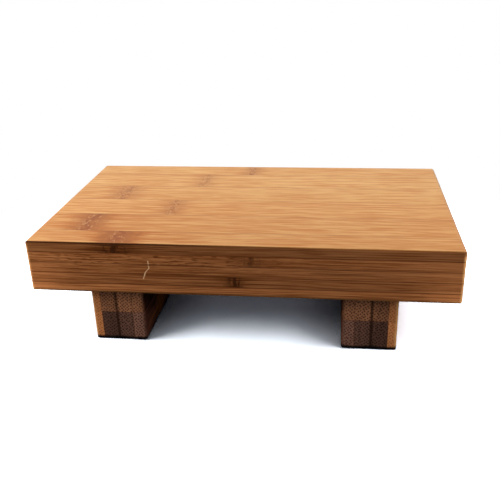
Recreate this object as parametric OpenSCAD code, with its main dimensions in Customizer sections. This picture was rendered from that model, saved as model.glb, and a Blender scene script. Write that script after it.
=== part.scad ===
// Sushi geta board: a thick bamboo serving board that stands on two bamboo legs.
// The board is five plies of bamboo strips glued edge to edge and face to face, with the seams
// staggered from ply to ply. Each leg is two courses of strips set on edge, and two hidden dowels
// pin it to the underside of the board. The edges are eased after gluing, so the rounding runs
// across the strips. Only the long edges of the serving face stay almost sharp.
// Millimetres. +X runs along the board's length, +Y to the back and +Z up. The origin is on the
// standing surface, under the middle of the board.

/* [Board] */
// Length of the board, along its grain
board_l = 220; // [180:1:300]
// Depth of the board, from front to back
board_d = 132; // [100:1:190]
// Thickness of one ply of strips
ply_t = 5.7; // [5:0.1:8]
// Width of a whole strip
strip_w = 24.4; // [18:0.2:30]
// Number of whole strips in a ply, between the two edge strips that are trimmed to the board's depth
whole_strips = 4; // [3:1:5]
// Radius of the board's eased edges
board_edge_r = 2; // [0.5:0.1:3]
// Radius of the two long edges of the serving face
serving_edge_r = 0.6; // [0.3:0.1:3]

/* [Legs] */
// Width of a leg, along the board's length
leg_w = 28.5; // [20:0.5:40]
// Height of a leg's upper course of strips, which is glued to the board
leg_upper_h = 14.2; // [13.5:0.1:20]
// Height of a leg's lower course of strips, which stands on the table
leg_lower_h = 17.3; // [8:0.1:30]
// Distance from the end of the board to the outer face of the leg
leg_overhang = 29.5; // [10:0.5:50]
// Distance from the board's front and back edges to the ends of a leg
leg_inset = 6; // [0:0.5:20]
// Radius of a leg's eased edges
leg_edge_r = 1.8; // [0.5:0.1:3]

/* [Dowels] */
// Diameter of a dowel
dowel_d = 8; // [5:0.5:10]
// Length of dowel inside the board
dowel_in_board = 12.5; // [8:0.5:16]
// Length of dowel inside the leg
dowel_in_leg = 12.5; // [8:0.5:13.5]
// Chamfer at both ends of a dowel
dowel_chamfer = 1; // [0.4:0.1:1.5]
// Number of glue flutes along a dowel
dowel_flutes = 12; // [6:1:16]
// Depth of a glue flute
flute_depth = 0.3; // [0.1:0.05:0.4]

/* [Hidden] */
$fn = 64;

// Film of glue around a dowel, and the room for glue at the closed end of its hole
glue_film = 0.05;
glue_room = 0.5;

// Length by which a cutting or trimming shape passes the face that it goes through
overrun = 1;

// Plies from the top down. A front share is the part of the trimmed width that the ply's front
// strip gets, and the back strip gets the rest, which staggers the seams.
ply_names = ["top", "upper", "core", "lower", "bottom"];
ply_front_shares = [0.47, 0.62, 0.38, 0.55, 0.42];
ply_count = len(ply_names);

board_t = ply_count * ply_t;
strip_count = whole_strips + 2;
trimmed_w = board_d - whole_strips * strip_w;

// Legs. Courses run from the board down, and columns from the leg's outer face inwards.
leg_names = ["left", "right"];
leg_sides = [-1, 1];
course_names = ["upper", "lower"];
leg_column_shares = [0.17, 0.30, 0.30, 0.23];
column_count = len(leg_column_shares);

leg_h = leg_upper_h + leg_lower_h;
leg_d = board_d - 2 * leg_inset;
leg_centre_x = board_l / 2 - leg_overhang - leg_w / 2;
board_top_z = leg_h + board_t;

dowel_end_names = ["front", "back"];
dowel_ends = [-1, 1];
// Dowels of a leg stand in the first and the last of the whole strips
dowel_pitch = (whole_strips - 1) * strip_w;
dowel_l = dowel_in_board + dowel_in_leg;
dowel_r = dowel_d / 2;
dowel_hole_r = dowel_r + glue_film;

// Colours of carbonised bamboo, as face grain, side grain and end grain show them
board_tones = ["#D9A066", "#CF9459", "#DDA76D", "#D39A5E", "#E0AB72", "#CC9055"];
leg_tones = [
    ["#8A5A2E", "#6E4A31", "#80552E", "#7A5030"],
    ["#B06A2C", "#4C3327", "#5E4029", "#765034"]
];
dowel_tone = "#E3C79A";

function board_strip_name(ply, strip) = str(ply_names[ply], "_ply_strip_", strip + 1);
function leg_strip_name(leg, course, column) =
    str(leg_names[leg], "_leg_", course_names[course], "_strip_", column + 1);
function dowel_name(leg, end) = str(leg_names[leg], "_leg_", dowel_end_names[end], "_dowel");

// Place of a seam across the board, counted from the front edge of a ply
function seam_y(ply, seam) =
    seam == 0 ? -board_d / 2 :
    seam == strip_count ? board_d / 2 :
    -board_d / 2 + ply_front_shares[ply] * trimmed_w + (seam - 1) * strip_w;

// Sum of the first few shares of a list
function share_sum(shares, count) = count == 0 ? 0 : shares[count - 1] + share_sum(shares, count - 1);

// Distance of a leg's seam from its outer face
function column_x(column) = column == column_count ? leg_w : leg_w * share_sum(leg_column_shares, column);

// Middle of a dowel's lower end, inside its leg
function dowel_foot(leg, end) =
    [leg_sides[leg] * leg_centre_x, dowel_ends[end] * dowel_pitch / 2, leg_h - dowel_in_leg];

// Rectangle about the origin with round corners of one radius
module rounded_rectangle(width, height, radius) {
    square([width - 2 * radius, height], center = true);
    square([width, height - 2 * radius], center = true);
    for (x = [-1, 1], y = [-1, 1])
        translate([x * (width / 2 - radius), y * (height / 2 - radius)])
            circle(r = radius);
}

// Rectangle about the origin whose upper corners have a radius of their own: what two taller
// rectangles have in common, one that starts at its foot and one that ends at its head
module two_radius_rectangle(width, height, lower_radius, upper_radius) {
    intersection() {
        translate([0, lower_radius])
            rounded_rectangle(width, height + 2 * lower_radius, lower_radius);
        translate([0, -upper_radius])
            rounded_rectangle(width, height + 2 * upper_radius, upper_radius);
    }
}

// Block about the origin with all its edges eased: what three rounded outlines have in common
module eased_block(length, depth, height, radius, long_top_radius) {
    intersection() {
        linear_extrude(height + 2 * overrun, center = true)
            rounded_rectangle(length, depth, radius);
        rotate([90, 0, 0])
            linear_extrude(depth + 2 * overrun, center = true)
                rounded_rectangle(length, height, radius);
        rotate([90, 0, 90])
            linear_extrude(length + 2 * overrun, center = true)
                two_radius_rectangle(depth, height, radius, long_top_radius);
    }
}

// Outer form of the whole board, which trims every strip at the board's edges
module board_form() {
    translate([0, 0, leg_h + board_t / 2])
        eased_block(board_l, board_d, board_t, board_edge_r, serving_edge_r);
}

// Outer form of a leg. The block runs on into the board, so that only the free edges are eased.
module leg_form(leg) {
    form_h = leg_h + leg_edge_r + overrun;
    translate([leg_sides[leg] * leg_centre_x, 0, form_h / 2])
        eased_block(leg_w, leg_d, form_h, leg_edge_r, leg_edge_r);
}

// Holes for all the dowels, drilled through the glued strips of board and legs
module dowel_holes() {
    for (leg = [0:1], end = [0:1])
        translate(dowel_foot(leg, end) - [0, 0, glue_room])
            cylinder(r = dowel_hole_r, h = dowel_l + 2 * glue_room);
}

// One strip of the board, from its front seam to its back seam
module board_strip(ply, strip) {
    front = seam_y(ply, strip);
    back = seam_y(ply, strip + 1);
    color(board_tones[(ply + strip) % len(board_tones)])
        difference() {
            intersection() {
                board_form();
                translate([-board_l / 2, front, board_top_z - (ply + 1) * ply_t])
                    cube([board_l, back - front, ply_t]);
            }
            dowel_holes();
        }
}

// One strip of a leg, from its outer seam to its inner seam
module leg_strip(leg, course, column) {
    outer = column_x(column);
    inner = column_x(column + 1);
    base_z = course == 0 ? leg_lower_h : 0;
    course_h = course == 0 ? leg_upper_h : leg_lower_h;
    middle_x = leg_sides[leg] * (leg_centre_x + leg_w / 2 - (outer + inner) / 2);
    color(leg_tones[course][column])
        difference() {
            intersection() {
                leg_form(leg);
                translate([middle_x, 0, base_z + course_h / 2])
                    cube([inner - outer, leg_d, course_h], center = true);
            }
            dowel_holes();
        }
}

// One fluted dowel with chamfered ends, standing half in the leg and half in the board
module dowel(leg, end) {
    color(dowel_tone)
        translate(dowel_foot(leg, end))
            difference() {
                rotate_extrude()
                    polygon([
                        [0, 0],
                        [dowel_r - dowel_chamfer, 0],
                        [dowel_r, dowel_chamfer],
                        [dowel_r, dowel_l - dowel_chamfer],
                        [dowel_r - dowel_chamfer, dowel_l],
                        [0, dowel_l]
                    ]);
                for (flute = [0:dowel_flutes - 1])
                    rotate([0, 0, flute * 360 / dowel_flutes])
                        translate([dowel_r, 0, -overrun])
                            cylinder(r = flute_depth, h = dowel_l + 2 * overrun);
            }
}

for (ply = [0:ply_count - 1], strip = [0:strip_count - 1])
    board_strip(ply, strip);
for (leg = [0:1], course = [0:1], column = [0:column_count - 1])
    leg_strip(leg, course, column);
for (leg = [0:1], end = [0:1])
    dowel(leg, end);
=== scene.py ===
"""Sushi geta board of carbonised bamboo: the finish of its strips, legs and dowels, and a studio.

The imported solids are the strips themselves, so every piece keeps its shape and gets a bamboo finish that
runs along its own grain: face grain on top, side grain at the front and back, and end grain at the board's
ends and on the front and back of the legs.
"""

import math
import random

import bmesh
import bpy
from bpy.props import FloatProperty, FloatVectorProperty, PointerProperty
from mathutils import Matrix, Vector


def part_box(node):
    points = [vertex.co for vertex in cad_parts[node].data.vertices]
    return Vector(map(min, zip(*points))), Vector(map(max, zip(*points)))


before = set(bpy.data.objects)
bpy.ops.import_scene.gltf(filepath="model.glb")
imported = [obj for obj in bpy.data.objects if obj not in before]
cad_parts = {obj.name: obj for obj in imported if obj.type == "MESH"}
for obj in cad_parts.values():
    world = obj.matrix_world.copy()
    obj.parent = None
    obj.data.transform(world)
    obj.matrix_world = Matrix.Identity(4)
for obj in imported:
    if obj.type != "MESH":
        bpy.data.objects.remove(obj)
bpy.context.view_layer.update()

bl_info = {
    "name": "Sushi geta board",
    "version": (1, 0, 0),
    "blender": (4, 5, 0),
    "location": "3D View > Sidebar > Geta board",
    "description": "Bamboo finishes for the strips of a sushi geta board, and a studio to show it in",
    "category": "Object",
}

# Millimetres in a metre: the frame is in metres, and the patterns in the bamboo are in millimetres
MM = 1000.0

# The pieces, as the frame names them: plies from the top down, strips from the front to the back,
# and leg strips from the outer face inwards.
PLIES = ("top", "upper", "core", "lower", "bottom")
INNER_PLIES = ("upper", "core", "lower")
STRIPS = range(1, 7)
LEGS = ("left", "right")
COURSES = ("upper", "lower")
COLUMNS = range(1, 5)
DOWEL_ENDS = ("front", "back")

# Directions along the grain, across a strip and through it, as rows in the frame's axes
BOARD_GRAIN = Matrix(((1, 0, 0), (0, 1, 0), (0, 0, 1)))
LEG_GRAIN = Matrix(((0, 1, 0), (0, 0, 1), (1, 0, 0)))
DOWEL_GRAIN = Matrix(((0, 0, 1), (1, 0, 0), (0, 1, 0)))

# Knot of each top strip: its place as a share of the board's length from the left end, its strength,
# and its length beside the usual one
TOP_KNOTS = (
    (0.214, 1.6, 1.3),
    (0.116, 1.0, 1.3),
    (0.301, 0.42, 0.9),
    (0.141, 0.46, 1.3),
    (0.344, 0.28, 1.0),
    (0.468, 0.44, 0.8),
)
# The same for the front strips of the plies below. A ply that is not named has no knot there.
FRONT_KNOTS = {"upper": (0.53, 0.6, 1.2), "lower": (0.492, 1.3, 0.8), "bottom": (0.91, 0.1, 1.0)}
NO_KNOT = (3.0, 0.0, 1.0)

# Brightness and warmth of the top strips, partly their own tone and partly painted light and sheen: they
# get brighter and paler from the front strip to the back one
TOP_TONES_AND_LIGHT = (0.895, 0.92, 0.965, 1.005, 1.035, 1.045)
TOP_WARMTHS_AND_SHEEN = (1.0, 1.0, 0.7, -0.3, -0.7, -0.7)
# Share of green and of blue that a warm strip lacks
WARM_GREEN = 0.05
WARM_BLUE = 0.09

# Brightness of each ply at the board's front and back, and how much brighter it is near the ends: partly
# wear where hands lift the board, and partly painted light that the ends of the lower plies catch from the
# sides and the floor
FRONT_TONES = {"top": 0.73, "upper": 0.91, "core": 0.86, "lower": 0.81, "bottom": 1.08}
FRONT_END_WEAR_AND_LIGHT = {"top": -0.12, "upper": 0.03, "core": 0.2, "lower": 0.38, "bottom": 0.45}
# How wavy the side grain of a ply is, and whether the dense skin of its cane lies up or down
FRONT_WAVES = {"top": 0.05, "upper": 0.4, "core": 0.15, "lower": 0.05, "bottom": 0.05}
SKIN_SIDES = {"top": 1.0, "upper": 1.0, "core": -1.0, "lower": 1.0, "bottom": 1.0}

# Finish and brightness of the leg strips in each course, from the outer face inwards, and the side on
# which each has its dense skin: outwards or inwards
LEG_FINISHES = {
    # The outer strip is darker in the upper course as painted shade from the board above it
    "upper": (("pale", 0.85), ("brown", 0.61), ("brown", 0.80), ("brown", 0.76)),
    "lower": (("pale", 1.05), ("dark", 0.57), ("dark", 0.81), ("dark", 1.42)),
}
LEG_SKINS = (1.0, -1.0, 1.0, -1.0)
LEG_WAVE = 0.4

# Least and most of the place, strength and length of a knot that is drawn by lot, and of a brightness
DRAWN_KNOTS = ((0.05, 0.95), (0.5, 1.0), (0.8, 1.3))
DRAWN_TONES = (0.9, 1.1)

# Seeds of the patterns. Each piece has a seed of its own, which shifts its patterns by that many steps,
# and the steps are in millimetres.
SEEDS_PER_PLY = 10.0
FIRST_LEG_SEED = 60.0
SEEDS_PER_LEG = 20.0
SEEDS_PER_COURSE = 5.0
FIRST_DOWEL_SEED = 120.0
DOWEL_SEEDS_PER_LEG = 2.0
GRAIN_STEP = (53.1, 17.3, 29.7)
KNOT_STEP = (31.7, 47.9, 13.3)

# Streaks of the grain: length in millimetres, width beside the usual one, and fineness
STREAKS = {
    "broad": (220, 5.0, 2.0),
    "medium": (32, 1.3, 2.0),
    "fine": (13, 0.85, 2.0),
    "long": (200, 0.5, 1.0),
    "short": (18, 0.42, 1.0),
    "lines": (38, 0.7, 2.0),
    "threads": (60, 0.36, 1.0),
    "dashes": (5, 0.45, 1.0),
}
# Shares of the streaks in the face grain and in the side grain
FACE_SHARES = {"broad": 0.14, "medium": 0.46, "fine": 0.40}
SIDE_SHARES = {"broad": 0.06, "long": 0.47, "short": 0.47}
# Sizes of the slow sway and of the quick ripple in the grain, along it, across it and through it, and how
# far they push it aside, in millimetres
SWAY_SIZE = (110, 26, 22)
SWAY_REACH = (0, 2.2, 1.4)
RIPPLE_SIZE = (15, 5, 3)
RIPPLE_REACH = (0, 2.0, 2.0)
# Size of the layers that lie one on the other through a strip: along the grain and across it in
# millimetres, and thickness beside the width of a streak
LAYER_SIZE = (40, 16, 0.7)
# Slant of the rows of fibre bundles, the scale that about undoes how far the slant spreads them, and how
# loosely they keep to rows
ROW_SLANT = 0.8
ROW_SCALE = 0.78
ROW_LOOSENESS = 0.4
# Patterns of a knot: length along the grain and width across it in millimetres, and fineness
KNOT_PATTERNS = {
    "ragged": (3.2, 2.2, 3.0),
    "wavy": (30, 4.5, 2.0),
    "across": (0.9, 3.5, 1.0),
    "along": (14, 0.7, 1.0),
    "streaks": (38, 1.7, 2.0),
    "wrinkles": (2.3, 4.6, 1.0),
}
# Sizes of the breaks in a glue line, of the patches of wear and of the breaks in the scratch,
# in millimetres
GLUE_BREAKS = (22, 6, 6)
WEAR_PATCHES = (9, 9, 9)
SCRATCH_BREAKS = (2, 2, 2)

# How strongly each mark colours a strip
LINE_SHARE = 0.30
GLINT_SHARE = 0.45
DASH_SHARE = 0.85
FLECK_SHARE = 0.75
LIGHTER_ENDS_SHARE = 0.22
EDGE_SHARE = 0.2
CORNER_SHARE = 0.85
SCRATCH_SHARE = 0.85
# How deep each dent is beside the grain
SEAM_DEPTH = 0.8
SCRATCH_DEPTH = 2.0
WRINKLE_DEPTH = 0.6

# Where the side grain gets livelier, and where the painted shade line under the front edge comes in, in
# millimetres along a strip from its middle: from the right to the left
LIVELY_FADE = (70.0, -20.0)
RIM_FADE = (60.0, -60.0)

# Course of a scratch down the front, as shares of the board's length and of its thickness from the top
SCRATCH_COURSE_SHARES = ((0.292, 0.33), (0.2935, 0.47), (0.284, 0.55), (0.278, 0.68))

# Where the deeper shadow between the legs ends, in metres: under a leg, counted from its inner face, and
# round the front and back ends of the legs. The depth is the power that deepens it.
UNDER_LEG = 0.01
LEG_END_FADE = (0.003, -0.004)
SHADOW_DEPTH = 2.0


def colour_prop(name, description, default):
    return FloatVectorProperty(
        name=name, description=description, default=default, size=3, min=0.0, max=1.0, subtype="COLOR"
    )


def length_prop(name, description, default):
    return FloatProperty(
        name=name, description=description, default=default, min=0.0, precision=6, unit="LENGTH"
    )


def share_prop(name, description, default):
    return FloatProperty(
        name=name, description=description, default=default, min=0.0, max=1.0, subtype="FACTOR"
    )


def brightness_prop(name, description, default):
    return FloatProperty(name=name, description=description, default=default, min=0.0)


def place_prop(name, description, default):
    return FloatVectorProperty(
        name=name,
        description=description,
        default=default,
        size=3,
        precision=5,
        subtype="TRANSLATION",
        unit="LENGTH",
    )


def lamp_power_prop(name, default):
    return FloatProperty(
        name=name, description="Power of this lamp, in watts", default=default, min=0.0, unit="POWER"
    )


class GetaBambooLooks(bpy.types.PropertyGroup):
    """Colours and grain sizes of the bamboo"""

    face_pale: colour_prop("Pale face grain", "Light streaks on the wide faces", (0.775, 0.395, 0.128))
    face_dark: colour_prop("Dark face grain", "Dark streaks on the wide faces", (0.585, 0.215, 0.040))
    side_pale: colour_prop("Pale side grain", "Light streaks on a strip's sides", (0.60, 0.222, 0.074))
    side_dark: colour_prop("Dark side grain", "Dark streaks on a strip's sides", (0.255, 0.064, 0.012))
    end_pale: colour_prop("Pale end grain", "Ground of a brown cut end", (0.66, 0.262, 0.118))
    end_dark: colour_prop("Dark end grain", "Fibre bundles on a brown cut end", (0.032, 0.011, 0.005))
    butt_pale: colour_prop("Pale board end", "Ground at the board's ends", (0.58, 0.25, 0.10))
    butt_dark: colour_prop("Dark board end", "Fibre bundles at the board's ends", (0.27, 0.095, 0.036))
    outer_pale: colour_prop("Outer strip ground", "Ground of the legs' outer strips", (0.80, 0.29, 0.10))
    outer_dark: colour_prop("Outer strip bundles", "Bundles of the legs' outer strips", (0.40, 0.12, 0.03))
    dusk_pale: colour_prop("Dark strip ground", "Ground of the legs' dark strips", (0.28, 0.125, 0.077))
    dusk_dark: colour_prop("Dark strip bundles", "Bundles of the legs' dark strips", (0.014, 0.006, 0.005))
    # Painted shade: the sides of the inner leg strips are far darker than the board's side grain, for the
    # shade under the board
    shaded_leg_pale: colour_prop("Pale leg side", "Light streaks along the sides of a leg", (0.14, 0.045, 0.024))
    shaded_leg_dark: colour_prop("Dark leg side", "Dark streaks along the sides of a leg", (0.05, 0.016, 0.010))
    knot: colour_prop("Knot", "Reddish brown stain round a knot", (0.45, 0.126, 0.010))
    knot_heart: colour_prop("Knot heart", "Dark brown heart of a knot", (0.26, 0.068, 0.003))
    # This colour also paints the shade line under the front top edge
    knot_bar_and_rim_shade: colour_prop("Knot bar", "Knots seen from the side, and soiled edges", (0.05, 0.014, 0.005))
    knot_dash: colour_prop("Knot dashes", "Dark wrinkles inside a knot", (0.25, 0.050, 0.001))
    knot_fleck: colour_prop("Knot flecks", "Pale wrinkles inside a knot", (0.72, 0.37, 0.14))
    glue: colour_prop("Glue", "Thin glue lines between strips", (0.10, 0.03, 0.01))
    # Partly wear, partly painted highlight: the paler corners also stand for rounded corners catching the
    # light near the ends
    rubbed_and_highlit: colour_prop("Rubbed corners", "Paler bamboo at the corners that hands rub", (1.0, 0.50, 0.18))
    bare: colour_prop("Bare bamboo", "Fresh bamboo where the surface is scratched", (1.0, 0.60, 0.30))
    # Painted shadow: the dark line at the foot of a leg stands for the contact shadow under its rounded
    # bottom edge
    painted_foot_shadow: colour_prop("Soil", "Dark line along the foot of a leg", (0.008, 0.006, 0.006))
    dowel_pale: colour_prop("Pale dowel wood", "Light rings of the dowels", (0.72, 0.52, 0.30))
    dowel_dark: colour_prop("Dark dowel wood", "Dark rings of the dowels", (0.55, 0.36, 0.18))
    bundle_pitch: length_prop("Bundle pitch", "Distance between fibre bundles", 0.0014)
    streak_width: length_prop("Streak width", "Width of a streak of colour", 0.0013)
    knot_length: length_prop("Knot length", "Length of a knot along the grain", 0.008)
    glue_width: length_prop("Glue line", "Half width of a glue line", 0.0002)
    wear_reach: length_prop("Edge wear", "How far rubbed edges reach on to the faces", 0.0018)
    # Partly wear and partly painted light: how far the lighter ends of the front and back reach
    lighter_ends_reach: length_prop("Handled ends", "How far the ends reach where hands lift the board", 0.03)
    foot_line: length_prop("Foot line", "Height of the dark line at the foot of a leg", 0.0026)
    scratch_width: length_prop("Scratch width", "Half width of the scratch on the front", 0.00025)
    grain_depth: length_prop("Grain depth", "Depth of the grain that can be felt", 0.00005)
    grain_relief: share_prop("Grain relief", "How clearly that depth shows", 0.6)
    # Painted shade: a dark line on the rounded front top edge, for the shade that edge stands in
    painted_rim_shade: share_prop("Soiled edge", "How dark the soiled line under the front edge is", 0.95)
    top_sheen: share_prop("Top sheen", "How much of a satin coat the oiled top has", 0.8)
    coat_ior: FloatProperty(
        name="Coat index",
        description="Refractive index of the oil on the top",
        default=1.3,
        min=1.0,
        max=2.0,
    )
    face_roughness: share_prop("Roughness", "Roughness of the satin finish", 0.36)


class GetaStudio(bpy.types.PropertyGroup):
    """Floor, light and camera"""

    floor_white: brightness_prop("Floor white", "How bright the paper floor looks to the camera", 2.7)
    # Painted light: the paper right of the legs is brightened over the shadow that falls there
    right_white: brightness_prop("Right white", "How much brighter it looks to the right of the legs", 1.25)
    floor_tint: colour_prop("Floor tint", "Tint of the paper, which shows in shadow", (0.94, 0.97, 1.0))
    floor_bounce: colour_prop("Floor bounce", "Light that the near floor throws back", (0.02, 0.02, 0.02))
    paper_bounce: colour_prop("Paper bounce", "Light that the far floor throws back", (0.5, 0.5, 0.5))
    fill: colour_prop("Fill light", "Colour of the soft light from all round", (0.18, 0.22, 0.28))
    left_lamp: lamp_power_prop("Left lamp", 0.74)
    left_lamp_place: place_prop("Left lamp place", "Where the left lamp stands", (-0.28, -0.145, 0.205))
    right_lamp: lamp_power_prop("Right lamp", 0.43)
    right_lamp_place: place_prop("Right lamp place", "Where the right lamp stands", (0.28, -0.145, 0.205))
    back_lamp: lamp_power_prop("Back lamp", 1.55)
    back_lamp_place: place_prop("Back lamp place", "Where the back lamp stands", (0.0, 0.30, 0.50))
    lamp_size: length_prop("Lamp size", "Width of the round lamps", 0.2)
    shadow_reach: length_prop("Shadow reach", "How far from a leg the floor's shadow deepens", 0.031)
    paper_near: length_prop("Shadowed paper", "How far from the middle the paper takes shadow", 0.12)
    paper_far: length_prop("White paper", "How far from the middle the paper is plain white", 0.26)
    bounce_near: length_prop("Dim bounce", "How far from the middle the near floor reaches", 0.11)
    bounce_far: length_prop("Full bounce", "How far from the middle the floor further off starts", 0.22)
    floor_size: length_prop("Floor size", "Side of the square paper floor", 16.0)
    camera_place: place_prop("Camera place", "Where the camera stands", (0.04771, -0.3661, 0.19231))
    camera_turn: FloatVectorProperty(
        name="Camera turn",
        description="Tilt, roll and heading of the camera",
        default=(math.radians(66.098), math.radians(1.615), math.radians(7.11)),
        subtype="EULER",
    )
    camera_lens: FloatProperty(
        name="Camera lens",
        description="Focal length on a 36 mm sensor, in millimetres",
        default=48.711,
        min=1.0,
    )


class Nodes:
    """Adds nodes to one node tree. An input is another node's output or a plain value."""

    def __init__(self, tree):
        self.tree = tree

    def feed(self, socket, value):
        if isinstance(value, bpy.types.NodeSocket):
            self.tree.links.new(value, socket)
        else:
            socket.default_value = value

    def add(self, kind, inputs, **settings):
        node = self.tree.nodes.new("ShaderNode" + kind)
        for name, value in settings.items():
            setattr(node, name, value)
        for key, value in inputs.items():
            self.feed(node.inputs[key], value)
        return node

    def group(self, tree, inputs):
        node = self.tree.nodes.new("ShaderNodeGroup")
        node.node_tree = tree
        for key, value in inputs.items():
            self.feed(node.inputs[key], value)
        return node.outputs

    def math(self, operation, *values, clamp=False):
        node = self.add("Math", dict(enumerate(values)), operation=operation, use_clamp=clamp)
        return node.outputs[0]

    def times(self, first, second, clamp=False):
        return self.math("MULTIPLY", first, second, clamp=clamp)

    def minus(self, first, second, clamp=False):
        return self.math("SUBTRACT", first, second, clamp=clamp)

    def most(self, first, second):
        return self.math("MAXIMUM", first, second)

    def size(self, value):
        """Value without its sign"""
        return self.math("ABSOLUTE", value)

    def linear(self, value, slope, start):
        """Value times slope, plus start"""
        return self.math("MULTIPLY_ADD", value, slope, start)

    def total(self, *weighted):
        """Sum of values, each with its weight"""
        value = 0.0
        for part, weight in weighted:
            value = self.linear(part, weight, value)
        return value

    def vector(self, operation, *values):
        return self.add("VectorMath", dict(enumerate(values)), operation=operation).outputs["Vector"]

    def scaled(self, vector, factor):
        return self.add("VectorMath", {0: vector, "Scale": factor}, operation="SCALE").outputs["Vector"]

    def parts(self, vector):
        return self.add("SeparateXYZ", {0: vector}).outputs

    def band(self, value, start, end):
        """Mask that goes smoothly from 0 where value is start to 1 where it is end"""
        inputs = {"Value": value, "From Min": start, "From Max": end}
        return self.add("MapRange", inputs, interpolation_type="SMOOTHSTEP").outputs[0]

    def outside(self, mask):
        """1 where a mask is 0, and 0 where it is 1"""
        return self.minus(1.0, mask, clamp=True)

    def blend(self, factor, first, second):
        """Value between two values"""
        return self.add("Mix", {0: factor, 2: first, 3: second}, data_type="FLOAT").outputs[0]

    def tint(self, factor, first, second):
        """Colour between two colours"""
        return self.add("Mix", {0: factor, 6: first, 7: second}, data_type="RGBA").outputs[2]

    def stretched(self, place, along, across, through):
        """Coordinates in which a pattern of unit size gets these sizes in millimetres"""
        return self.vector("MULTIPLY", place, (1 / along, 1 / across, 1 / through))

    def noise(self, place, fineness=2.0):
        return self.add("TexNoise", {"Vector": place, "Scale": 1.0, "Detail": fineness}).outputs[0]

    def streaks(self, place, length, width, fineness):
        """Noise of this length along the grain and this width across it, in millimetres"""
        return self.noise(self.stretched(place, length, width, width), fineness)

    def drift(self, place):
        """Vector that wanders about zero"""
        colour = self.add("TexNoise", {"Vector": place, "Scale": 1.0, "Detail": 1.0}).outputs["Color"]
        return self.vector("SUBTRACT", colour, (0.5, 0.5, 0.5))

    def dots(self, place, looseness):
        """Distance to the nearest of the points that stand in rows on a plane, more or less loosely"""
        inputs = {"Vector": place, "Scale": 1.0, "Randomness": looseness}
        return self.add("TexVoronoi", inputs, voronoi_dimensions="2D").outputs["Distance"]


SOCKETS = {"value": "NodeSocketFloat", "vector": "NodeSocketVector", "colour": "NodeSocketColor"}


def start_group(name, inputs, outputs):
    """New node group with named sockets: the group, its nodes, what it is given and what it puts out"""
    group = bpy.data.node_groups.new(name, "ShaderNodeTree")
    for direction, sockets in (("INPUT", inputs), ("OUTPUT", outputs)):
        for label, kind in sockets.items():
            group.interface.new_socket(label, in_out=direction, socket_type=SOCKETS[kind])
    given = group.nodes.new("NodeGroupInput").outputs
    result = group.nodes.new("NodeGroupOutput").inputs
    return group, Nodes(group), given, result


def rgba(colour):
    return (*colour, 1.0)


def bamboo_grain_group(looks):
    """Streaks on the faces and sides of a strip, and fibre bundles on its ends.

    Places are in millimetres from the middle of the strip.
    """
    name = "Bamboo grain"
    if name in bpy.data.node_groups:
        return bpy.data.node_groups[name]
    outputs = ("Face", "Side", "Lines", "Threads", "Dashes", "Bundles", "Fibres")
    group, n, given, result = start_group(
        name,
        {"Place": "vector", "Seed": "value", "Wave": "value"},
        {label: "value" for label in outputs},
    )
    shifted = n.vector("ADD", given["Place"], n.scaled(GRAIN_STEP, given["Seed"]))
    sway = n.vector("MULTIPLY", n.drift(n.stretched(shifted, *SWAY_SIZE)), SWAY_REACH)
    lively = n.band(n.parts(given["Place"])["X"], *LIVELY_FADE)
    wave = n.times(given["Wave"], n.blend(lively, 0.2, 1.0))
    ripple = n.vector("MULTIPLY", n.drift(n.stretched(shifted, *RIPPLE_SIZE)), RIPPLE_REACH)
    place = n.vector("ADD", n.vector("ADD", shifted, sway), n.scaled(ripple, wave))
    width = looks.streak_width * MM
    streaks = {
        kind: n.streaks(place, length, share * width, fineness)
        for kind, (length, share, fineness) in STREAKS.items()
    }
    face = n.total(*((streaks[kind], share) for kind, share in FACE_SHARES.items()))
    side = n.total(*((streaks[kind], share) for kind, share in SIDE_SHARES.items()))
    n.feed(result["Face"], n.band(face, 0.37, 0.63))
    n.feed(result["Side"], n.band(side, 0.28, 0.72))
    n.feed(result["Lines"], n.band(streaks["lines"], 0.40, 0.28))
    n.feed(result["Threads"], streaks["threads"])
    dashes = n.band(streaks["dashes"], 0.48, 0.34)
    n.feed(result["Dashes"], n.times(dashes, n.times(wave, 2.3, clamp=True)))
    n.feed(result["Fibres"], streaks["fine"])

    pitch = looks.bundle_pitch * MM
    cut = n.parts(n.stretched(shifted, 1, pitch, pitch))
    rows = {
        "X": n.linear(cut["Y"], ROW_SLANT, cut["Z"]),
        "Y": n.linear(cut["Z"], -ROW_SLANT, cut["Y"]),
    }
    in_rows = n.scaled(n.add("CombineXYZ", rows).outputs[0], ROW_SCALE)
    bundles = n.band(n.dots(in_rows, ROW_LOOSENESS), 0.16, 0.40)
    along, across, thickness = LAYER_SIZE
    layers = n.band(n.noise(n.stretched(place, along, across, thickness * width)), 0.35, 0.65)
    n.feed(result["Bundles"], n.total((bundles, 0.8), (layers, 0.2)))
    return group


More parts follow.
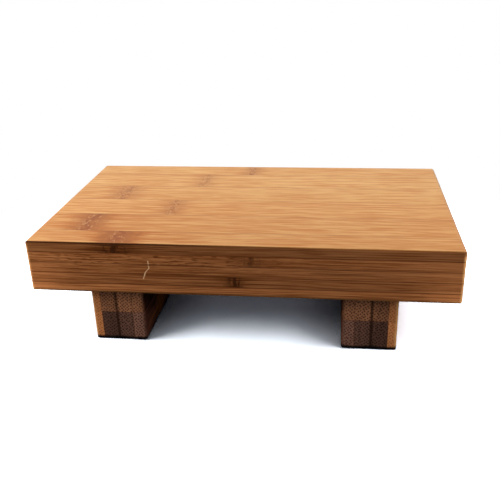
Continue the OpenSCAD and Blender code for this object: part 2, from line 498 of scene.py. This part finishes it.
def bamboo_knot_group(looks):
    """A knot of the cane: a ragged, wrinkled heart across the strip, in a stain that runs along it."""
    name = "Bamboo knot"
    if name in bpy.data.node_groups:
        return bpy.data.node_groups[name]
    outputs = ("Stain", "Heart", "Line", "Strokes", "Dashes", "Flecks")
    group, n, given, result = start_group(
        name,
        {"Place": "vector", "Seed": "value", "Middle": "value", "Strength": "value", "Length": "value"},
        {label: "value" for label in outputs},
    )
    strength = given["Strength"]
    shifted = n.vector("ADD", given["Place"], n.scaled(KNOT_STEP, given["Seed"]))
    patterns = {kind: n.streaks(shifted, *size) for kind, size in KNOT_PATTERNS.items()}
    length = n.times(given["Length"], looks.knot_length * MM)
    off = n.math("DIVIDE", n.minus(n.parts(given["Place"])["X"], given["Middle"]), length)
    away = n.size(off)

    # On the face: the heart and the line where the cane's walls met
    ragged = n.minus(patterns["ragged"], 0.5)
    inside = n.size(n.linear(ragged, 1.6, off))
    n.feed(result["Heart"], n.times(n.band(inside, 1.3, 0.1), strength, clamp=True))
    wavy = n.minus(patterns["wavy"], 0.5)
    line = n.band(n.size(n.linear(wavy, 1.4, off)), 0.17, 0.04)
    n.feed(result["Line"], n.times(line, strength, clamp=True))

    # On the side: a dark bar with strokes across and along it
    bar = n.band(n.size(n.linear(ragged, 0.3, off)), 0.20, 0.05)
    across = n.times(n.band(patterns["across"], 0.50, 0.62), n.band(away, 0.8, 0.3))
    along = n.times(n.band(patterns["along"], 0.44, 0.60), n.band(inside, 1.1, 0.2))
    strokes = n.most(bar, n.times(n.most(across, along), 0.7))
    n.feed(result["Strokes"], n.times(strokes, strength, clamp=True))

    # Stain in streaks, some of which run far along the strip
    near = n.band(n.linear(patterns["streaks"], -5.0, away), -0.4, -2.2)
    far = n.times(n.band(patterns["streaks"], 0.50, 0.62), n.band(away, 6.0, 0.8))
    n.feed(result["Stain"], n.times(n.most(near, n.times(far, 0.75)), strength))

    # Wrinkles, which faint knots show nearly as clearly as strong ones
    clear = n.math("MINIMUM", n.times(n.math("SQRT", strength), 1.1), 0.9)
    middle = n.times(n.band(away, 0.6, 0.15), clear)
    dashes = n.band(n.size(n.minus(patterns["wrinkles"], 0.44)), 0.08, 0.02)
    flecks = n.band(n.size(n.minus(patterns["wrinkles"], 0.58)), 0.06, 0.01)
    n.feed(result["Dashes"], n.times(dashes, middle))
    n.feed(result["Flecks"], n.times(flecks, middle))
    return group


def glue_seam_group(looks):
    """Glue lines where a strip meets its neighbours, seen on the faces that the seam reaches."""
    name = "Glue seam"
    if name in bpy.data.node_groups:
        return bpy.data.node_groups[name]
    group, n, given, result = start_group(
        name, {"Place": "vector", "Normal": "vector", "Half Size": "vector"}, {"Seam": "value"}
    )
    width = looks.glue_width * MM
    rest = n.parts(n.vector("SUBTRACT", given["Half Size"], n.vector("ABSOLUTE", given["Place"])))
    facing = n.parts(n.vector("MULTIPLY", given["Normal"], given["Normal"]))
    seams = []
    for axis in ("Y", "Z"):
        line = n.band(rest[axis], 1.6 * width, 0.5 * width)
        seams.append(n.times(line, n.outside(facing[axis])))
    broken = n.band(n.noise(n.stretched(given["Place"], *GLUE_BREAKS)), 0.25, 0.6)
    n.feed(result["Seam"], n.times(n.most(*seams), broken))
    return group


def wear_and_painted_light_group(looks):
    """Wear of a block with painted light and shade: paler worn edges where two faces are near, ends and
    corners lighter from wear and painted highlight, and a painted shadow at the foot.
    """
    name = "Edge wear"
    if name in bpy.data.node_groups:
        return bpy.data.node_groups[name]
    outputs = ("Edges", "Corners", "Ends", "Foot")
    group, n, given, result = start_group(
        name, {"Place": "vector", "Half Size": "vector"}, {label: "value" for label in outputs}
    )
    reach = looks.wear_reach * MM
    ends_reach = looks.lighter_ends_reach * MM
    foot = looks.foot_line * MM
    rest = n.parts(n.vector("SUBTRACT", given["Half Size"], n.vector("ABSOLUTE", given["Place"])))
    nearer = n.math("MINIMUM", rest["X"], rest["Y"])
    further = n.most(rest["X"], rest["Y"])
    second = n.most(nearer, n.math("MINIMUM", further, rest["Z"]))
    patchy = n.minus(n.noise(n.stretched(given["Place"], *WEAR_PATCHES), 4.0), 0.5)
    edges = n.band(n.linear(patchy, reach, second), reach, 0.2 * reach)
    n.feed(result["Edges"], edges)
    below = n.parts(n.vector("SUBTRACT", given["Half Size"], given["Place"]))["Z"]
    # Corners near the ends, below the top edge: paler from rubbing, and a painted highlight where the
    # rounded corners catch the light
    rubbed_and_highlit = n.times(n.band(rest["X"], 1.2 * ends_reach, 0.0), n.band(below, reach, 2 * reach))
    n.feed(result["Corners"], n.times(edges, rubbed_and_highlit))
    # Ends of the front and back, lighter from wear where hands lift the board and from painted light
    n.feed(result["Ends"], n.band(n.linear(patchy, 0.5 * ends_reach, rest["X"]), ends_reach, 0.1 * ends_reach))
    # Painted shadow: a dark line at the foot of a leg, for the contact shadow under its rounded bottom edge
    height = n.parts(n.vector("ADD", given["Place"], given["Half Size"]))["Z"]
    n.feed(result["Foot"], n.band(n.linear(patchy, 0.5 * foot, height), 1.3 * foot, 0.6 * foot))
    return group


def scratch_group(looks, board):
    """A thin scratch down the front of the board. Places are in millimetres from the board's middle."""
    name = "Scratch"
    if name in bpy.data.node_groups:
        return bpy.data.node_groups[name]
    group, n, given, result = start_group(
        name, {"Place": "vector", "Normal": "vector"}, {"Scratch": "value"}
    )
    half = MM * board[1]
    width = looks.scratch_width * MM
    place = n.parts(given["Place"])
    points = [
        ((2 * along - 1) * half.x, (1 - 2 * down) * half.z) for along, down in SCRATCH_COURSE_SHARES
    ]
    mark = 0.0
    for (x0, z0), (x1, z1) in zip(points, points[1:]):
        course = {"Value": place["Z"], "From Min": z0, "From Max": z1, "To Min": x0, "To Max": x1}
        line = n.add("MapRange", course).outputs[0]
        off = n.size(n.minus(place["X"], line))
        over = n.size(n.minus(place["Z"], (z0 + z1) / 2))
        beyond = n.most(n.minus(over, abs(z1 - z0) / 2), 0.0)
        mark = n.most(mark, n.band(n.math("ADD", off, beyond), 1.6 * width, 0.5 * width))
    faint = n.band(n.noise(n.stretched(given["Place"], *SCRATCH_BREAKS)), 0.2, 0.5)
    front = n.times(n.parts(given["Normal"])["Y"], -1.0, clamp=True)
    n.feed(result["Scratch"], n.times(n.times(mark, faint), front))
    return group


STRIP_COLOURS = ("Face Pale", "Face Dark", "Side Pale", "Side Dark", "End Pale", "End Dark")
# Wear, and painted light and shade, that a strip is given
STRIP_WEAR_AND_LIGHT = ("Edges", "Corners", "Ends", "Foot", "Scratch", "Rim", "Sheen")
STRIP_GROWTH = ("Seed", "Tone", "Knot", "Knot Strength", "Knot Length", "Skin", "Wave", "Handled")


def bamboo_strip_group(looks):
    """Whole finish of a bamboo strip, made from its grain, knot, seams and wear."""
    name = "Bamboo strip"
    if name in bpy.data.node_groups:
        return bpy.data.node_groups[name]
    inputs = {"Place": "vector", "Normal": "vector", "Half Size": "vector"}
    inputs |= {label: "value" for label in STRIP_WEAR_AND_LIGHT + STRIP_GROWTH}
    inputs |= {label: "colour" for label in STRIP_COLOURS}
    group, n, given, result = start_group(
        name, inputs, {"Color": "colour", "Roughness": "value", "Sheen": "value", "Height": "value"}
    )
    facing = n.parts(n.vector("MULTIPLY", given["Normal"], given["Normal"]))
    end, side = facing["X"], facing["Y"]
    along = n.parts(given["Place"])["X"]
    depth = n.parts(n.vector("DIVIDE", given["Place"], given["Half Size"]))["Z"]
    lively = n.band(along, *LIVELY_FADE)
    grain = n.group(
        bamboo_grain_group(looks),
        {"Place": given["Place"], "Seed": given["Seed"], "Wave": given["Wave"]},
    )
    knot = n.group(
        bamboo_knot_group(looks),
        {
            "Place": given["Place"],
            "Seed": given["Seed"],
            "Middle": given["Knot"],
            "Strength": n.times(given["Knot Strength"], n.outside(end)),
            "Length": given["Knot Length"],
        },
    )
    seam = n.group(
        glue_seam_group(looks),
        {"Place": given["Place"], "Normal": given["Normal"], "Half Size": given["Half Size"]},
    )["Seam"]

    # Ground colour, and the lines, glints, threads and dense skin in it
    light = n.blend(end, n.blend(side, grain["Face"], grain["Side"]), grain["Bundles"])
    pale = n.tint(end, n.tint(side, given["Face Pale"], given["Side Pale"]), given["End Pale"])
    dark = n.tint(end, n.tint(side, given["Face Dark"], given["Side Dark"]), given["End Dark"])
    colour = n.scaled(n.tint(light, dark, pale), given["Tone"])
    colour = n.tint(n.times(grain["Lines"], n.linear(end, -LINE_SHARE, LINE_SHARE)), colour, dark)
    glints = n.times(n.band(grain["Threads"], 0.53, 0.64), side)
    colour = n.tint(n.times(glints, GLINT_SHARE), colour, pale)
    threads = n.times(n.most(n.band(grain["Threads"], 0.45, 0.36), grain["Dashes"]), side)
    colour = n.tint(n.times(threads, n.blend(lively, 0.55, 0.9)), colour, n.scaled(dark, 0.55))
    skin = n.times(n.band(n.times(depth, given["Skin"]), 0.7, 1.0), n.outside(facing["Z"]))
    skin = n.times(skin, n.blend(lively, 0.6, 1.0))
    skin_colour = n.scaled(dark, n.linear(end, -0.5, 1.0))
    colour = n.tint(n.times(skin, n.linear(end, 0.25, 0.6)), colour, skin_colour)

    # Knot, with wrinkles where it is seen from the face
    stain = n.tint(side, rgba(looks.knot), n.scaled(given["Side Dark"], 0.7))
    colour = n.tint(n.times(knot["Stain"], n.linear(side, -0.35, 0.85)), colour, stain)
    heart = n.times(n.blend(side, knot["Heart"], knot["Strokes"]), n.linear(side, 0.30, 0.55))
    colour = n.tint(heart, colour, n.tint(side, rgba(looks.knot_heart), rgba(looks.knot_bar_and_rim_shade)))
    on_face = n.minus(0.6, side, clamp=True)
    colour = n.tint(n.times(knot["Line"], on_face), colour, rgba(looks.knot_dash))
    colour = n.tint(n.times(knot["Dashes"], n.times(on_face, DASH_SHARE)), colour, rgba(looks.knot_dash))
    colour = n.tint(n.times(knot["Flecks"], n.times(on_face, FLECK_SHARE)), colour, rgba(looks.knot_fleck))

    # Wear and glue, with painted light and shade: lighter ends and corners, a painted shadow at the foot
    # and a painted shade line under the front edge
    # Lighter ends: wear where hands lift the board, and painted light that the ends catch from the sides
    # and the floor
    ends = n.times(given["Ends"], side)
    colour = n.tint(n.times(ends, LIGHTER_ENDS_SHARE), colour, pale)
    colour = n.scaled(colour, n.linear(ends, given["Handled"], 1.0))
    colour = n.tint(n.times(given["Edges"], EDGE_SHARE), colour, pale)
    # Corners near the ends: paler from rubbing, and a painted highlight where the rounded corners catch the
    # light
    colour = n.tint(n.times(given["Corners"], CORNER_SHARE), colour, rgba(looks.rubbed_and_highlit))
    colour = n.tint(n.times(seam, n.linear(side, 0.25, 0.55)), colour, rgba(looks.glue))
    # Painted shadow at the foot of a leg, on its sides and roundings but not on the face it stands on
    foot = n.times(given["Foot"], n.band(side, 0.98, 0.7))
    colour = n.tint(foot, colour, rgba(looks.painted_foot_shadow))
    # Painted shade: a dark line on the rounding under the front top edge, fading out towards the right
    rim = n.times(n.band(depth, 0.60, 0.80), n.band(side, 0.03, 0.25))
    rim = n.times(rim, n.band(along, *RIM_FADE))
    colour = n.tint(n.times(rim, given["Rim"]), colour, rgba(looks.knot_bar_and_rim_shade))
    colour = n.tint(n.times(given["Scratch"], SCRATCH_SHARE), colour, rgba(looks.bare))
    n.feed(result["Color"], colour)

    rough = n.linear(light, -0.10, looks.face_roughness + 0.08)
    rough = n.linear(end, 0.22, rough)
    rough = n.linear(given["Edges"], 0.06, rough)
    n.feed(result["Roughness"], n.most(foot, rough))
    upward = n.band(n.parts(given["Normal"])["Z"], 0.5, 0.95)
    n.feed(result["Sheen"], n.times(given["Sheen"], upward))

    height = n.linear(grain["Fibres"], 0.6, n.times(grain["Bundles"], -0.3))
    dents = ((seam, SEAM_DEPTH), (given["Scratch"], SCRATCH_DEPTH), (knot["Dashes"], WRINKLE_DEPTH))
    for dent, amount in dents:
        height = n.minus(height, n.times(dent, amount))
    n.feed(result["Height"], height)
    return group


def box_of(nodes):
    """Middle and half size of the box round some nodes, in metres"""
    boxes = [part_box(node) for node in nodes]
    low = Vector(min(box[0][axis] for box in boxes) for axis in range(3))
    high = Vector(max(box[1][axis] for box in boxes) for axis in range(3))
    return (low + high) / 2, (high - low) / 2


def strip_material(looks, node, grain, form, tones, values, sheen=0.0, rubbed_and_highlit=False, scratched=False):
    """Bamboo material of one strip.

    Form is the middle and half size of the block that the strip's worn edges belong to.
    """
    material = bpy.data.materials.new(node + "_bamboo")
    material.use_nodes = True
    material.node_tree.nodes.clear()
    n = Nodes(material.node_tree)
    middle, half = box_of([node])
    turn = grain.to_euler()
    scale = (MM, MM, MM)
    surface = n.add("TexCoord", {}).outputs
    place = n.add(
        "Mapping",
        {"Vector": surface["Object"], "Location": -MM * (grain @ middle), "Rotation": turn, "Scale": scale},
    )
    normal = n.add("Mapping", {"Vector": surface["Normal"], "Rotation": turn}, vector_type="VECTOR")
    on_form = n.add("Mapping", {"Vector": surface["Object"], "Location": -MM * form[0], "Scale": scale})
    on_form = on_form.outputs["Vector"]
    wear = n.group(wear_and_painted_light_group(looks), {"Place": on_form, "Half Size": MM * form[1]})
    inputs = {
        "Place": place.outputs["Vector"],
        "Normal": normal.outputs["Vector"],
        "Half Size": MM * Vector(map(abs, grain @ half)),
        "Edges": wear["Edges"],
        "Sheen": sheen,
    }
    inputs |= {label: rgba(colour) for label, colour in zip(STRIP_COLOURS, tones)}
    if grain == BOARD_GRAIN:
        inputs["Ends"] = wear["Ends"]
    if grain == LEG_GRAIN:
        inputs["Foot"] = wear["Foot"]
    if rubbed_and_highlit:
        inputs["Corners"] = wear["Corners"]
    if scratched:
        scratch = n.group(scratch_group(looks, form), {"Place": on_form, "Normal": surface["Normal"]})
        inputs["Scratch"] = scratch["Scratch"]
    finish = n.group(bamboo_strip_group(looks), inputs | values)
    relief = {"Strength": looks.grain_relief, "Distance": looks.grain_depth, "Height": finish["Height"]}
    shader = n.add(
        "BsdfPrincipled",
        {
            "Base Color": finish["Color"],
            "Roughness": finish["Roughness"],
            "Specular IOR Level": 0.0,
            "Coat Weight": finish["Sheen"] if sheen else 0.0,
            "Coat Roughness": looks.face_roughness,
            "Coat IOR": looks.coat_ior,
            "Normal": n.add("Bump", relief).outputs["Normal"],
        },
    )
    n.add("OutputMaterial", {"Surface": shader.outputs["BSDF"]})
    return material


def put_on(node, material):
    """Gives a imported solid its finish"""
    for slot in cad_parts[node].material_slots:
        slot.material = material


def board_nodes():
    return [f"{ply}_ply_strip_{strip}" for ply in PLIES for strip in STRIPS]


def leg_nodes(leg):
    return [f"{leg}_leg_{course}_strip_{column}" for course in COURSES for column in COLUMNS]


def knot_values(knot, half_length):
    """Inputs of the finish for a knot: its place as a share of the length, its strength and its length"""
    share, strength, length = knot
    place = (share - 0.5) * 2 * MM * half_length
    return {"Knot": place, "Knot Strength": strength, "Knot Length": length}


def warmed(colour, warmth):
    """Colour with less green and blue in it, or with more where the warmth is below zero"""
    red, green, blue = colour
    return red, green * (1 - WARM_GREEN * warmth), blue * (1 - WARM_BLUE * warmth)


def finish_board_strip(looks, ply, strip, tone, knot, warmth=0.0):
    """Puts bamboo on one strip of the board"""
    node = f"{ply}_ply_strip_{strip}"
    form = box_of(board_nodes())
    faces = [warmed(colour, warmth) for colour in (looks.face_pale, looks.face_dark)]
    sides = [FRONT_TONES[ply] * colour for colour in (looks.side_pale, looks.side_dark)]
    tones = [*faces, *sides, looks.butt_pale, looks.butt_dark]
    values = {
        "Seed": SEEDS_PER_PLY * PLIES.index(ply) + strip,
        "Tone": tone,
        "Skin": SKIN_SIDES[ply],
        "Wave": FRONT_WAVES[ply],
        "Handled": FRONT_END_WEAR_AND_LIGHT[ply],
        "Rim": looks.painted_rim_shade if (ply, strip) == ("top", 1) else 0.0,
    }
    values |= knot_values(knot, form[1].x)
    scratched = strip == 1 and ply in INNER_PLIES
    sheen = looks.top_sheen if ply == "top" else 0.0
    material = strip_material(
        looks, node, BOARD_GRAIN, form, tones, values, sheen=sheen, rubbed_and_highlit=True, scratched=scratched
    )
    put_on(node, material)


def drawn_knot(ply, strip):
    """Knot of a strip whose knots nothing in particular sets"""
    draw = random.Random(f"{ply} {strip}")
    return tuple(draw.uniform(*limits) for limits in DRAWN_KNOTS)


def drawn_tone(ply, strip):
    """Brightness of a strip below the top ply. The front strips keep to that of their ply."""
    return 1.0 if strip == 1 else random.Random(f"{ply} {strip} tone").uniform(*DRAWN_TONES)


def finish_lower_ply(looks, ply):
    """Puts bamboo on the strips of a ply below the top one"""
    for strip in STRIPS:
        knot = FRONT_KNOTS.get(ply, NO_KNOT) if strip == 1 else drawn_knot(ply, strip)
        finish_board_strip(looks, ply, strip, drawn_tone(ply, strip), knot)


class GETA_OT_top_ply(bpy.types.Operator):
    """Finish the strips of the top ply, with the knots of its face grain"""

    bl_idname = "geta.top_ply"
    bl_label = "Top ply"

    def execute(self, context):
        looks = context.scene.geta_bamboo
        for strip, tone, knot, warmth in zip(STRIPS, TOP_TONES_AND_LIGHT, TOP_KNOTS, TOP_WARMTHS_AND_SHEEN):
            finish_board_strip(looks, "top", strip, tone, knot, warmth)
        return {"FINISHED"}


class GETA_OT_inner_plies(bpy.types.Operator):
    """Finish the strips of the three inner plies, which show at the board's four sides"""

    bl_idname = "geta.inner_plies"
    bl_label = "Inner plies"

    def execute(self, context):
        for ply in INNER_PLIES:
            finish_lower_ply(context.scene.geta_bamboo, ply)
        return {"FINISHED"}


class GETA_OT_bottom_ply(bpy.types.Operator):
    """Finish the strips of the bottom ply, the underside of the board"""

    bl_idname = "geta.bottom_ply"
    bl_label = "Bottom ply"

    def execute(self, context):
        finish_lower_ply(context.scene.geta_bamboo, "bottom")
        return {"FINISHED"}


def finish_leg_strip(looks, leg, course, column, finish, tone, skin):
    """Puts bamboo on one strip of a leg"""
    node = f"{leg}_leg_{course}_strip_{column}"
    form = box_of(leg_nodes(leg))
    ends = {
        "pale": [looks.outer_pale, looks.outer_dark],
        "brown": [looks.end_pale, looks.end_dark],
        "dark": [looks.dusk_pale, looks.dusk_dark],
    }
    # The inner strips' sides take the darker leg colours, which are painted shade
    flanks = ends["pale"] if finish == "pale" else [looks.shaded_leg_pale, looks.shaded_leg_dark]
    tones = flanks * 2 + ends[finish]
    seed = FIRST_LEG_SEED + SEEDS_PER_LEG * LEGS.index(leg) + SEEDS_PER_COURSE * COURSES.index(course)
    values = {
        "Seed": seed + column,
        "Tone": tone,
        "Skin": skin,
        "Wave": LEG_WAVE,
    }
    values |= knot_values(drawn_knot(f"{leg} {course}", column), form[1].y)
    rubbed_and_highlit = finish == "pale"
    put_on(node, strip_material(looks, node, LEG_GRAIN, form, tones, values, rubbed_and_highlit=rubbed_and_highlit))


class GETA_OT_legs(bpy.types.Operator):
    """Finish the strips of both legs, which show their end grain at the front"""

    bl_idname = "geta.legs"
    bl_label = "Legs"

    def execute(self, context):
        looks = context.scene.geta_bamboo
        for side, leg in zip((-1, 1), LEGS):
            for course in COURSES:
                for column, (finish, tone), skin in zip(COLUMNS, LEG_FINISHES[course], LEG_SKINS):
                    finish_leg_strip(looks, leg, course, column, finish, tone, skin * side)
        return {"FINISHED"}


class GETA_OT_dowels(bpy.types.Operator):
    """Finish the hidden dowels that pin the legs to the board"""

    bl_idname = "geta.dowels"
    bl_label = "Dowels"

    def execute(self, context):
        looks = context.scene.geta_bamboo
        tones = [looks.dowel_pale, looks.dowel_dark] * 3
        for leg in LEGS:
            for end in DOWEL_ENDS:
                node = f"{leg}_leg_{end}_dowel"
                seed = FIRST_DOWEL_SEED + DOWEL_SEEDS_PER_LEG * LEGS.index(leg) + DOWEL_ENDS.index(end)
                values = {"Seed": seed, "Tone": 1.0, "Knot Length": 1.0}
                put_on(node, strip_material(looks, node, DOWEL_GRAIN, box_of([node]), tones, values))
        return {"FINISHED"}


def light_path_share(n):
    """1 for what the camera sees, also in a mirror or through glass, and 0 for light on matt surfaces"""
    path = n.add("LightPath", {}).outputs
    seen = n.most(path["Is Camera Ray"], path["Is Glossy Ray"])
    seen = n.most(seen, path["Is Transmission Ray"])
    return n.times(seen, n.math("LESS_THAN", path["Diffuse Depth"], 0.5))


def paper_level(n, studio, place):
    """How bright the paper is: a painted shadow near the legs, on the side between them, and painted light
    to the right
    """
    middle, half = box_of(leg_nodes("right"))
    inner = middle.x - half.x
    off = n.parts(n.vector("ABSOLUTE", place))
    starts, ends = LEG_END_FADE
    between = n.band(off["X"], inner + UNDER_LEG, inner)
    between = n.times(between, n.band(off["Y"], half.y + starts, half.y + ends))
    # Painted shadow: the paper between the legs is darkened where the legs and board hide it
    open_share = n.add("AmbientOcclusion", {"Distance": studio.shadow_reach}, samples=4).outputs["AO"]
    # Painted light on the paper to the right of the legs
    right = n.band(n.parts(place)["X"], inner + UNDER_LEG, middle.x + half.x)
    elsewhere = n.blend(right, 1.0, studio.right_white)
    return n.blend(between, elsewhere, n.math("POWER", open_share, SHADOW_DEPTH))


def make_floor(studio):
    """Wide sheet of white paper under the board"""
    mesh = bpy.data.meshes.new("paper_floor")
    sheet = bmesh.new()
    bmesh.ops.create_grid(sheet, x_segments=8, y_segments=8, size=studio.floor_size / 2)
    sheet.to_mesh(mesh)
    sheet.free()
    floor = bpy.data.objects.new("paper_floor", mesh)
    bpy.context.scene.collection.objects.link(floor)
    material = bpy.data.materials.new("paper")
    material.use_nodes = True
    material.node_tree.nodes.clear()
    n = Nodes(material.node_tree)
    place = n.add("TexCoord", {}).outputs["Object"]
    distance = n.add("VectorMath", {0: place}, operation="LENGTH").outputs["Value"]

    # What the camera sees: paper that takes shadow near the board, and plain white further off
    white_paper = [studio.floor_white * share for share in studio.floor_tint]
    shadowed = n.add("BsdfDiffuse", {"Color": n.scaled(white_paper, paper_level(n, studio, place))})
    white = n.add("Emission", {"Color": (1.0, 1.0, 1.0, 1.0)})
    away = n.band(distance, studio.paper_near, studio.paper_far)
    paper = n.add("MixShader", {0: away, 1: shadowed.outputs[0], 2: white.outputs[0]})

    # What lights the board from below: little from the near floor, more from further off
    near_bounce = n.add("BsdfDiffuse", {"Color": rgba(studio.floor_bounce)})
    far_bounce = n.add("BsdfDiffuse", {"Color": rgba(studio.paper_bounce)})
    lighter = n.band(distance, studio.bounce_near, studio.bounce_far)
    bounce = n.add("MixShader", {0: lighter, 1: near_bounce.outputs[0], 2: far_bounce.outputs[0]})

    shown = n.add("MixShader", {0: light_path_share(n), 1: bounce.outputs[0], 2: paper.outputs[0]})
    n.add("OutputMaterial", {"Surface": shown.outputs[0]})
    mesh.materials.append(material)


def make_world(studio):
    """Soft light from all round, which looks white"""
    world = bpy.data.worlds.new("studio")
    world.use_nodes = True
    world.node_tree.nodes.clear()
    n = Nodes(world.node_tree)
    fill = n.add("Background", {"Color": rgba(studio.fill)})
    white = n.add("Background", {"Color": (1.0, 1.0, 1.0, 1.0)})
    shown = n.add("MixShader", {0: light_path_share(n), 1: fill.outputs[0], 2: white.outputs[0]})
    n.add("OutputWorld", {"Surface": shown.outputs[0]})
    bpy.context.scene.world = world


def make_lamps(studio):
    """Round soft lamps to both sides of the front and behind the board, turned to the board's middle"""
    middle = box_of(board_nodes())[0]
    for name in ("left_lamp", "right_lamp", "back_lamp"):
        lamp = bpy.data.lights.new(name, "AREA")
        lamp.shape = "DISK"
        lamp.size = studio.lamp_size
        lamp.energy = getattr(studio, name)
        stand = bpy.data.objects.new(name, lamp)
        stand.location = getattr(studio, name + "_place")
        stand.rotation_euler = (stand.location - middle).to_track_quat("Z", "Y").to_euler()
        stand.visible_camera = False
        stand.visible_glossy = False
        bpy.context.scene.collection.objects.link(stand)


def make_camera(studio):
    """Camera where the photograph was taken from"""
    camera = bpy.data.cameras.new("camera")
    camera.lens = studio.camera_lens
    camera.clip_start = 0.01
    stand = bpy.data.objects.new("camera", camera)
    stand.location = studio.camera_place
    stand.rotation_euler = studio.camera_turn
    bpy.context.scene.collection.objects.link(stand)
    bpy.context.scene.camera = stand


class GETA_OT_studio(bpy.types.Operator):
    """Set up the paper floor, the lamps, the white surround and the camera"""

    bl_idname = "geta.studio"
    bl_label = "Studio"

    def execute(self, context):
        studio = context.scene.geta_studio
        make_floor(studio)
        make_world(studio)
        make_lamps(studio)
        make_camera(studio)
        context.scene.view_settings.view_transform = "Standard"
        return {"FINISHED"}


OPERATORS = (
    GETA_OT_top_ply,
    GETA_OT_inner_plies,
    GETA_OT_bottom_ply,
    GETA_OT_legs,
    GETA_OT_dowels,
    GETA_OT_studio,
)


class GETA_PT_panel(bpy.types.Panel):
    """Lists the steps that finish the board"""

    bl_idname = "GETA_PT_panel"
    bl_label = "Geta board"
    bl_space_type = "VIEW_3D"
    bl_region_type = "UI"
    bl_category = "Geta board"

    def draw(self, context):
        for operator in OPERATORS:
            self.layout.operator(operator.bl_idname)
        for group in (context.scene.geta_bamboo, context.scene.geta_studio):
            for name in group.__annotations__:
                self.layout.prop(group, name)


CLASSES = (GetaBambooLooks, GetaStudio, *OPERATORS, GETA_PT_panel)


def register():
    for cls in CLASSES:
        bpy.utils.register_class(cls)
    bpy.types.Scene.geta_bamboo = PointerProperty(type=GetaBambooLooks)
    bpy.types.Scene.geta_studio = PointerProperty(type=GetaStudio)


def unregister():
    del bpy.types.Scene.geta_studio
    del bpy.types.Scene.geta_bamboo
    for cls in reversed(CLASSES):
        bpy.utils.unregister_class(cls)


def main():
    register()
    bpy.ops.geta.top_ply()
    bpy.ops.geta.inner_plies()
    bpy.ops.geta.bottom_ply()
    bpy.ops.geta.legs()
    bpy.ops.geta.dowels()
    bpy.ops.geta.studio()


if __name__ == "__main__":
    main()
